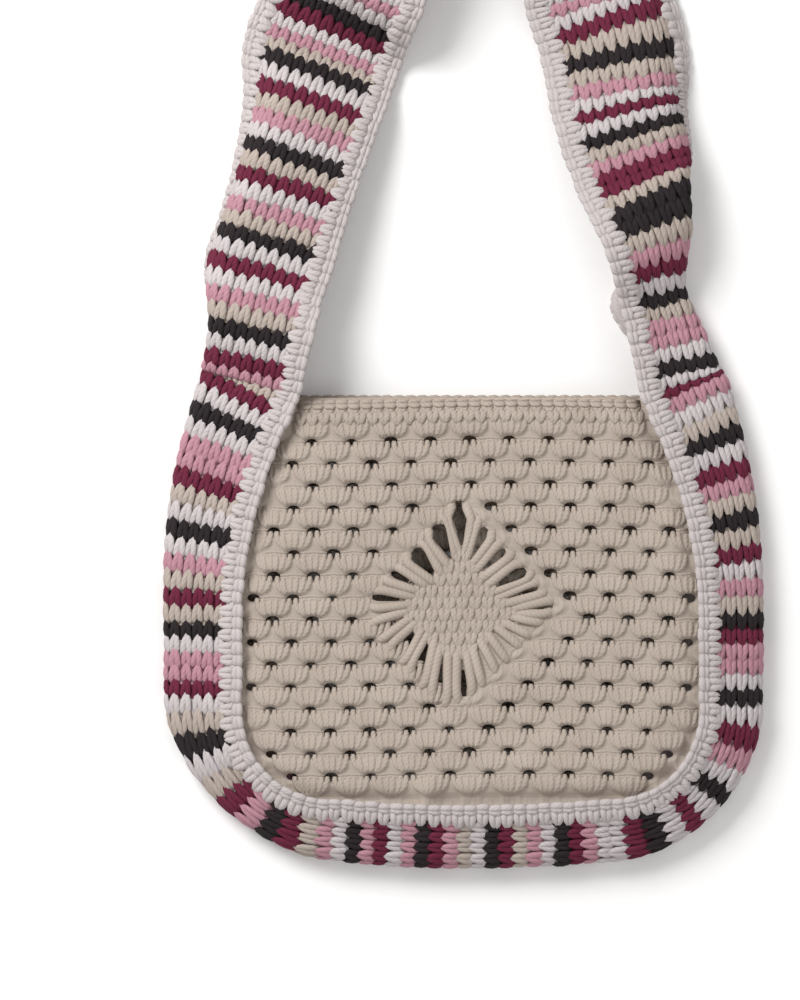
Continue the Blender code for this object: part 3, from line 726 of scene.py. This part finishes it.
frontEdge = ring["points"][: ring["body"]] - ring["normals"][: ring["body"]] * panel["insideSeam"]
aboveMouth = [frontEdge[-1:] + (0, 0.2), frontEdge[:1] + (0, 0.2)]  # the mouth is no seam
seam = insideDistance(gridPlaces, np.concatenate([frontEdge, *aboveMouth]))
frontHeight = field(panelHeights(gridPlaces, seam).reshape(len(gridX), len(gridY)))
frontInside = distanceFields(frontEdge)


def pressedIn(x, y, fields, margin):
    # moves points that lie nearer the outline than the margin straight in from it
    distance, towardX, towardY = (one(x, y) for one in fields)
    short = np.clip(margin - distance, 0, None)
    return x + towardX * short, y + towardY * short


def onFront(xMm, yMm, hMm, margin=-0.0006):
    wander = panel["driftMm"] * np.stack([np.sin(yMm / 27 + 0.4), np.sin(xMm / 33 + 0.9)])
    x, y = pressedIn((xMm + wander[0]) / 1000, (yMm + wander[1]) / 1000, frontInside, margin)
    return np.stack([x, y, frontHeight(x, y) + hMm / 1000], axis=-1)


# Front panel: an open trellis of double crochet worked in threes. Each three starts in the gap
# below it and fans out to the row above. Tables with post in the name are the back panel's.

trellis = {
    "pitchMm": 19.7, "rowMm": 11.1, "topMm": 80.5, "rows": 18, "sides": 7,
    "openFromSeamMm": 4.0, "jitterMm": 0.35,
    "postX": [0.33, 0.58, 0.88, 1.10, 1.14, 1.02, 0.82],   # share of the full spread up a post
    "postY": [0.9, 2.3, 4.1, 6.3, 8.2, 10.2, 11.7],
    "postH": [-2.4, 0.1, 1.0, 0.35, -0.3, -1.0, -2.2],
    "postR": [0.9, 1.75, 2.15, 2.2, 2.1, 1.75, 1.2],
    "strandX": [-7.5, -4.5, -1.5, 1.5, 4.5, 7.5],
    # the fabric's relief: how wide a group is and how high it stands at heights above its gap
    "reliefY": [0.0, 1.6, 3.0, 4.8, 7.0, 9.5, 11.1],
    "reliefWide": [3.4, 4.6, 6.6, 8.4, 9.4, 9.8, 9.85],
    "reliefHigh": [-0.6, 0.6, 1.25, 1.05, 0.55, 0.0, -0.6],
    "reliefLow": -0.6, "flatMm": 0.25, "fade": 0.12, "plainStrandMm": 2.2,
    "postMm": 0.45, "strands": 3,  # the three posts' relief, and strands to each side of a group
    # the front's strands lie on that relief: shares of a group's width, heights above its gap
    "strandShares": [-0.82, -0.53, -0.145, 0.145, 0.53, 0.82],
    "strandY": [2.6, 3.7, 5.4, 7.6, 9.7, 11.2],
    "strandR": [0.75, 1.2, 1.5, 1.55, 1.4, 0.9],
    "chainY": [10.5, 11.9], "chainHalf": 6.6, "onTopMm": -0.55,
    "holeWide": 3.0, "holeHigh": 2.0, "holeDip": 1.5, "cells": (26, 15),
}
motif = {
    "leftMm": 5.5, "downMm": 1.5, "halfWidthMm": 46.5, "halfHeightMm": 50.5,
    "rowMm": 6.1, "heartMm": (-26.0, 27.0),
    # the trellis's holes and the groups' strands keep this many times the diamond's reach away
    "trellisFrom": 1.16, "groupsFrom": 1.06,
    # the slits, from the top anticlockwise, in millimetres from the bag's middle: x and y of the
    # outer end, x and y of the inner end at the solid heart, and how wide the slit stands open
    "slits": [
        (-6.5, 50.0, -5.0, 28.0, 9.0),
        (-18.0, 38.0, -10.0, 21.0, 9.0),
        (-29.0, 26.0, -17.5, 12.0, 8.0),
        (-40.0, 15.0, -26.0, 7.5, 3.4),
        (-49.5, 3.0, -31.0, 1.0, 3.4),
        (-47.5, -14.5, -33.0, -7.0, 3.4),
        (-35.5, -25.5, -26.0, -12.5, 5.4),
        (-26.0, -37.0, -19.5, -18.0, 5.6),
        (-15.0, -50.0, -13.5, -26.5, 3.6),
        (-2.0, -48.0, -3.5, -27.0, 3.2),
        (9.5, -38.0, 3.5, -22.5, 1.6),
        (21.5, -25.5, 11.5, -15.0, 0.8),
        (32.0, -13.5, 19.5, -9.5, 0.8),
        (41.5, -2.5, 25.5, -5.0, 2.2),
        (33.5, 6.5, 16.5, 0.5, 2.4),
        (27.0, 15.5, 11.0, 6.5, 6.0),
        (16.5, 25.5, 3.5, 13.5, 4.0),
        (7.0, 36.5, -0.5, 21.0, 5.4),
    ],
    "slitDip": 0.9, "openMm": 2,  # slits no wider than this are only grooves
    # how the slits widen from the inner end, 0, to the outer end, 1
    "slitAt": [-0.08, 0.10, 0.35, 0.62, 0.84, 0.96, 1.04],
    "slitShape": [0.0, 0.25, 0.50, 0.82, 1.0, 0.72, 0.0],
}


# The front's mouth: where each solid row starts and how high it is, and its braid of chains.
mouth = {"rowsMm": [(91.2, 5.0), (96.2, 4.6)], "braidMm": 99.6, "chainMm": 6.0,
         "backBraidsMm": [101.0, 97.0, 93.5], "backShortMm": 4.0}


def diamondShare(x, y):
    return (np.abs(x + motif["leftMm"]) / motif["halfWidthMm"]
            + np.abs(y + motif["downMm"]) / motif["halfHeightMm"])


def trellisSites(fields, margin):
    # millimetre places of the gaps in every row whose three above lies in the panel
    sites = []
    for row in range(trellis["rows"]):
        y = trellis["topMm"] - row * trellis["rowMm"]
        for column in range(-7, 8):
            x = (column + row % 2 / 2) * trellis["pitchMm"]
            inside = fields[0](np.array([x / 1000]), np.array([(y + 5.5) / 1000]))[0]
            if inside > margin:
                sites.append((x, y))
    return np.array(sites)


def trebleGroup(sides, rings):
    # three posts of two strands each, and the chain along their tops
    keep = np.linspace(0, len(trellis["postX"]) - 1, rings).round().astype(int)
    share, y, h, r = (np.array(trellis[key])[keep] for key in ("postX", "postY", "postH", "postR"))
    parts = []
    for number, x in enumerate(trellis["strandX"]):
        lean = 0.25 * (-1 if number % 2 else 1)
        line = np.stack([x * share + lean * np.sin(y / 11.8 * math.pi), y,
                         h - 0.35 * (abs(x) > 7)], axis=1)
        parts.append(tube(line, r, sides, flat=0.72, turn=number * 0.17))
    for side in (-1, 1):
        xs = np.linspace(-6.2, 6.2, 5)
        line = np.stack([xs, 11.2 + side * 0.8 + 0 * xs, -0.9 - 0.02 * xs**2], axis=1)
        parts.append(tube(line, [0.8, 1.1, 1.15, 1.1, 0.8], sides, turn=0.2))
    return joined(parts)


def workTrellis(sites, template, place):
    count = len(sites)
    a, b, h = columns(template)
    size = rng.normal(1, 0.03, (count, 1))
    slant = rng.normal(0, 0.05, (count, 1))
    x = sites[:, :1] + (a + slant * b) * size + rng.normal(0, trellis["jitterMm"], (count, 1))
    y = sites[:, 1:] + b * size + rng.normal(0, trellis["jitterMm"], (count, 1)) * 0.7
    points = place(x, y, h + rng.normal(0, 0.15, (count, 1)))
    return points, *setDown(template, count)


def openHoles(sites):
    far = frontInside[0](sites[:, 0] / 1000, sites[:, 1] / 1000) * 1000
    return sites[(diamondShare(*sites.T) > motif["trellisFrom"]) & (far > trellis["openFromSeamMm"])]


def slitPoint(number, share):
    # a place along a slit, 0 at the heart and 1 at its outer end
    slit = np.array(motif["slits"][number % len(motif["slits"])])
    return slit[2:4] + (slit[:2] - slit[2:4]) * share


def slitWidth(number, share):
    wide = motif["slits"][number % len(motif["slits"])][4]
    return wide * np.interp(share, motif["slitAt"], motif["slitShape"])


def inGroup(x, y):
    # height above a group's gap, share of its half width, and 1 where the trellis is, 0 elsewhere
    row = np.ceil((trellis["topMm"] - y) / trellis["rowMm"] - 1e-6)
    above = y - trellis["topMm"] + row * trellis["rowMm"]
    beside = np.mod(x / trellis["pitchMm"] - np.mod(row, 2) / 2 + 0.5, 1) - 0.5
    wide = np.interp(above, trellis["reliefY"], trellis["reliefWide"])
    far = np.clip((diamondShare(x, y) - 1.0) / trellis["fade"], 0, 1) * (row >= 0)
    return above, np.abs(beside) * trellis["pitchMm"] / wide, far


def trellisRelief(x, y):
    above, share, far = inGroup(x, y)
    group = np.clip(1 - share**2, 0, 1) ** 0.35
    high = np.interp(above, trellis["reliefY"], trellis["reliefHigh"])
    relief = trellis["reliefLow"] + (high - trellis["reliefLow"]) * group
    relief -= trellis["postMm"] * (1 - np.abs(np.cos(1.5 * math.pi * share))) * group
    return relief * far + trellis["flatMm"] * (1 - far)


def strandUvs(x, y):
    # the yarn's plies stand for the strands that fan out from each gap
    above, share, far = inGroup(x, y)
    fan = np.clip(share, 0, 1.3) * trellis["strands"]
    across = np.where(far > 0.5, fan, y / trellis["plainStrandMm"])
    return np.stack([above * 0.02, across / yarnLook["plies"]], axis=-1)


def groupStrands(sides):
    # three posts of two strands and the chain along their tops, all at height 0
    y = np.array(trellis["strandY"])
    wide = np.interp(y, trellis["reliefY"], trellis["reliefWide"])
    parts = []
    for number, share in enumerate(trellis["strandShares"]):
        lean = 0.25 * np.sin(y / 11.3 * math.pi) * (1 if number % 2 else -1)
        line = np.stack([share * wide + lean, y, 0 * y], axis=1)
        parts.append(tube(line, trellis["strandR"], sides, flat=0.8, turn=number * 0.17))
    for y in trellis["chainY"]:
        xs = np.linspace(-trellis["chainHalf"], trellis["chainHalf"], 5)
        line = np.stack([xs, y + 0.35 * np.cos(xs / 2.1), 0 * xs], axis=1)
        parts.append(tube(line, [0.7, 1.05, 1.1, 1.05, 0.7], sides, flat=0.9, turn=0.2))
    return joined(parts)


def workGroups(sites):
    # the strands of every group, draped over the front's relief
    template = groupStrands(trellis["sides"] - 1)
    count = len(sites)
    a, b, h = columns(template)
    size = rng.normal(1, 0.02, (count, 1))
    x = sites[:, :1] + a * size + rng.normal(0, 0.15, (count, 1))
    y = sites[:, 1:] + b + rng.normal(0, 0.12, (count, 1))
    height = trellisRelief(x, y) + h + trellis["onTopMm"]
    return onFront(x, y, height), *setDown(template, count)


def openSlit(number, x, y):
    # which points lie in a slit, and where its edge nearest each of them is
    inner, outer = slitPoint(number, 0), slitPoint(number, 1)
    length = np.linalg.norm(outer - inner)
    ahead = (outer - inner) / length
    along = ((x - inner[0]) * ahead[0] + (y - inner[1]) * ahead[1]) / length
    off = (y - inner[1]) * ahead[0] - (x - inner[0]) * ahead[1]
    half = slitWidth(number, along) / 2
    inside = np.abs(off) < half
    push = np.where(inside, np.where(off < 0, -half, half) - off, 0)
    depth = np.where((along > -0.1) & (along < 1.08), half - np.abs(off), -9.0)
    return inside, x - push * ahead[1], y + push * ahead[0], depth


def frontBase(holes):
    # the fabric itself, a fine grid with its holes and slits cut out and their edges turned in
    stepX = trellis["pitchMm"] / trellis["cells"][0]
    stepY = trellis["rowMm"] / trellis["cells"][1]
    x, y = np.meshgrid(np.arange(-156, 157) * stepX,
                       trellis["topMm"] - np.arange(-30, 272) * stepY, indexing="ij")
    height = trellisRelief(x, y)
    uvs = strandUvs(x, y)
    cutOut = np.zeros(x.shape, bool)
    for holeX, holeY in holes:
        size = rng.normal(1, 0.10)
        across = (x - holeX) / trellis["holeWide"] / size
        up = (y - holeY) / trellis["holeHigh"] / size
        reach = np.sqrt(across**2 + up**2) + 1e-6
        inside = reach < 1
        height -= trellis["holeDip"] * np.exp(-(np.clip(reach - 1, 0, None) / 0.45) ** 2)
        x = np.where(inside, holeX + (x - holeX) / reach, x)
        y = np.where(inside, holeY + (y - holeY) / reach, y)
        cutOut |= inside
    for number, slit in enumerate(motif["slits"]):
        inside, movedX, movedY, depth = openSlit(number, x, y)
        height -= motif["slitDip"] * np.exp(-(np.clip(-depth, 0, None) / 0.9) ** 2) * (depth > -3)
        if slit[4] > motif["openMm"]:
            x, y = np.where(inside, movedX, x), np.where(inside, movedY, y)
            cutOut |= inside
    closed = ~(cutOut[:-1, :-1] & cutOut[1:, :-1] & cutOut[1:, 1:] & cutOut[:-1, 1:])
    closed &= frontInside[0](x[:-1, :-1] / 1000, y[:-1, :-1] / 1000) > panel["sheetEnd"]
    points = onFront(x, y, height, panel["underRim"])
    a, b = np.nonzero(closed)
    wide = x.shape[1]
    first = a * wide + b
    faces = np.stack([first, first + 1, first + wide + 1, first + wide], axis=1)
    used, corners = np.unique(faces, return_inverse=True)
    corners = corners.ravel()
    flat = uvs.reshape(-1, 2)[used]
    return points.reshape(-1, 3)[used], np.full(len(faces), 4), corners, flat[corners]


def diamondStrands(sides):
    # between two slits run two strands, which narrow where the slits stand open
    parts = []
    shares = np.array([-0.22, 0.0, 0.22, 0.45, 0.68, 0.88, 1.02, 1.16])
    height = np.array([-2.0, -0.3, 0.4, 0.5, 0.5, 0.3, -0.7, -2.6])
    for number in range(len(motif["slits"])):
        for strand in range(2):
            line, radii = [], []
            for share, h in zip(shares, height):
                here, there = slitPoint(number, share), slitPoint(number + 1, share)
                span = np.linalg.norm(there - here)
                toward = (there - here) / span
                edges = []
                for each in (number, number + 1):
                    along = slitPoint(each, 1) - slitPoint(each, 0)
                    along /= np.linalg.norm(along)
                    square = abs(toward[0] * along[1] - toward[1] * along[0])
                    edges.append(slitWidth(each, share) / 2 / max(square, 0.5))
                low, high = edges[0], span - edges[1]
                across = high - low
                at = low + across * (0.27 if strand == 0 else 0.73)
                line.append((*(here + toward * at), h))
                radii.append(np.clip(across / 4 * 1.1, 0.8, 2.5))
            parts.append(tube(line, radii, sides, flat=0.8, turn=number * 0.13 + strand * 0.3))
    return joined(parts)


def rowReach(y):
    # how far the heart, the polygon of the slits' inner ends, reaches left and right at a height
    inner = [slit[2:4] for slit in motif["slits"]]
    crossings = []
    for (x0, y0), (x1, y1) in zip(inner, inner[1:] + inner[:1]):
        if (y0 > y) != (y1 > y):
            crossings.append(x0 + (y - y0) / (y1 - y0) * (x1 - x0))
    return min(crossings), max(crossings)


def crochetRow(left, right, y, pitch):
    # places of one row of single crochet worked upwards: (x, y, scale across, scale along)
    stitches = max(2, round((right - left) / band["stitchMm"]))
    width = (right - left) / stitches
    centres = left + (np.arange(stitches) + 0.5) * width
    return [(x, y, width / band["stitchMm"], pitch / band["rowMm"]) for x in centres]


def beigeSingles():
    # the diamond's solid heart and the solid rows at the mouth
    places = []
    low, high = motif["heartMm"]
    count = round((high - low) / motif["rowMm"])
    pitch = (high - low) / count
    for row in range(count):
        start = low + row * pitch
        left, right = rowReach(start + pitch / 2)
        places += crochetRow(left - 1.5, right + 1.5, start, pitch)
    for y, pitch in mouth["rowsMm"]:
        reach = bag["mouth"] * 500 + (96 - y) * 0.35
        places += crochetRow(-reach, reach, y, pitch)
    return np.array(places)


def workSingles(places, sides, lift):
    template = singleCrochet(sides)
    count = len(places)
    a, b, h = columns(template)
    size = rng.normal(1, 0.03, (count, 1))
    x = places[:, :1] + a * places[:, 2:3] * size + rng.normal(0, 0.2, (count, 1))
    y = places[:, 1:2] + b * places[:, 3:4] * size + rng.normal(0, 0.2, (count, 1))
    return onFront(x, y, h * 0.42 + lift), *setDown(template, count)


def mouthBraid(sides, y, reach, place):
    parts = []
    for side in (-1, 1):
        chain = [(-3.6, 0.25, 0.2), (-1.6, 1.2, 1.2), (0.9, 1.4, 1.3), (3.6, 0.7, 0.3)]
        parts.append(tube([(a, side * b, h) for a, b, h in chain], [1.0, 1.5, 1.55, 1.15], sides))
    template = joined(parts)
    count = round(2 * reach / mouth["chainMm"])
    a, b, h = columns(template)
    x = (-reach + (np.arange(count) + 0.5) * 2 * reach / count)[:, None] + a
    return place(x, y + b + 0 * x, h + 0 * x), *setDown(template, count)


def workFrontPanel():
    sites = trellisSites(frontInside, -0.002)
    holes = openHoles(sites)
    parts = [
        frontBase(holes),
        workSingles(beigeSingles(), trellis["sides"], -0.05),
        mouthBraid(trellis["sides"], mouth["braidMm"], bag["mouth"] * 500 - 1.0, onFront),
    ]
    strands = diamondStrands(trellis["sides"])
    parts.append((onFront(*columns(strands)), *setDown(strands, 1)))
    buildPiece("frontPanelTrellis", parts, yarns["panel"], ["front_panel"])
    clear = diamondShare(sites[:, 0], sites[:, 1] + 5.5) > motif["groupsFrom"]
    buildPiece("frontPanelGroups", [workGroups(sites[clear])], yarns["panel"],
               ["front_panel"])


workFrontPanel()


# Back panel: the same trellis, lying flat

backFields = distanceFields(backOutline())


def onBack(xMm, yMm, hMm):
    x, y = pressedIn(xMm / 1000, yMm / 1000, backFields, 0.0005)
    y = np.minimum(y, bag["panelHeight"] / 2 + bag["backShows"])
    return np.stack([x, y, 0.0021 + 0.55 * hMm / 1000], axis=-1)


def workBackPanel():
    sites = trellisSites(backFields, -0.002)
    reach = bag["backMouth"] * 500 - mouth["backShortMm"]
    parts = [workTrellis(sites, trebleGroup(6, 4), onBack)]
    parts += [mouthBraid(6, y, reach, onBack) for y in mouth["backBraidsMm"]]
    buildPiece("backPanelTrellis", parts, yarns["panel"], ["back_panel"])


workBackPanel()


# Camera, light and floor

stage = {
    "frameHeight": 0.500, "centre": (-0.035, 0.051), "cameraHeight": 2.0,
    "sharpHeight": 0.015, "floor": "#f6f5f4", "floorReach": 6.0, "floorDrop": 0.0004, "sky": 0.56,
    "lights": [("keyLight", (-0.85, 0.95, 1.2), 0.8, 27.0),
               ("fillLight", (0.9, -0.3, 1.8), 1.4, 6.0)],
}


def setStage():
    camera = bpy.data.cameras.new("camera")
    height = stage["sharpHeight"] + stage["cameraHeight"]
    seen = placed("camera", camera, (*stage["centre"], height))
    camera.sensor_width = 36
    camera.lens = 36 * stage["cameraHeight"] / stage["frameHeight"]
    camera.clip_end = 20
    bpy.context.scene.camera = seen

    mesh = bpy.data.meshes.new("floor")
    reach = stage["floorReach"]
    mesh.from_pydata([(-reach, -reach, 0), (reach, -reach, 0), (reach, reach, 0), (-reach, reach, 0)],
                     [], [(0, 1, 2, 3)])
    floor = placed("floor", mesh, (0, 0, -stage["floorDrop"]))
    paper = bpy.data.materials.new("matteWhitePaper")
    paper.use_nodes = True
    shader = paper.node_tree.nodes["Principled BSDF"]
    shader.inputs["Base Color"].default_value = hexColour(stage["floor"])
    shader.inputs["Roughness"].default_value = 0.9
    mesh.materials.append(paper)

    world = bpy.data.worlds.new("softStudio")
    world.use_nodes = True
    world.node_tree.nodes["Background"].inputs["Color"].default_value = hexColour("#ffffff")
    world.node_tree.nodes["Background"].inputs["Strength"].default_value = stage["sky"]
    bpy.context.scene.world = world
    for name, place, size, power in stage["lights"]:
        light = bpy.data.lights.new(name, "AREA")
        light.size = size
        light.energy = power
        lamp = placed(name, light, place)
        lamp.rotation_euler = (-Vector(place)).to_track_quat("-Z", "Y").to_euler()
    bpy.context.scene.view_settings.view_transform = "Standard"


setStage()
